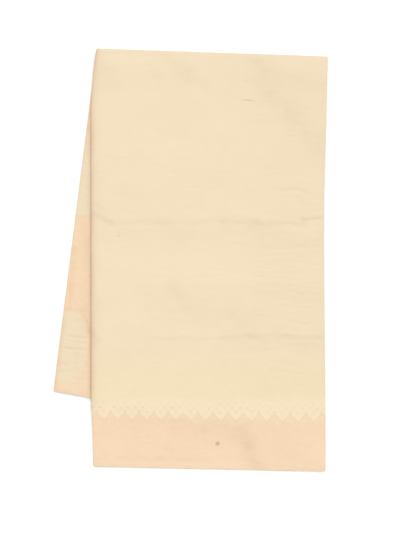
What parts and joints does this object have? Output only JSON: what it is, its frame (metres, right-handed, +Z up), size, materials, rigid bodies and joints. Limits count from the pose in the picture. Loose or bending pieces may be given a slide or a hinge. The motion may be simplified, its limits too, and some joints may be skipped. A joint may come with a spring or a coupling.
{
  "type": "folded silk sari",
  "caption": "Silk sari folded to a narrow strip and laid over on itself, with a temple-edged border on the front fall and a figured pallu showing down one side.",
  "frame": {"origin": "on the ground, under the middle of the folded sari's bounding box", "axes": "+Y along the strip from the front hem to the rolled top edge, +X across it to the right, +Z up through the folds"},
  "size_m": [0.4056, 0.6249, 0.0118],
  "materials": {
    "field_silk": "fine soft silk, low sheen",
    "border_silk": "fine soft silk, low sheen",
    "pallu_silk": "fine soft silk, woven ovals, low sheen",
    "inner_silk": "fine soft silk, low sheen"
  },
  "bodies": {
    "root": {"front_field": "field_silk", "front_border": "border_silk", "roll_field": "field_silk", "under_field": "field_silk", "under_narrow_border": "border_silk", "back_pallu": "pallu_silk", "back_narrow_border": "border_silk", "under_pallu": "pallu_silk", "inner_plies": "inner_silk"}
  },
  "joints": []
}
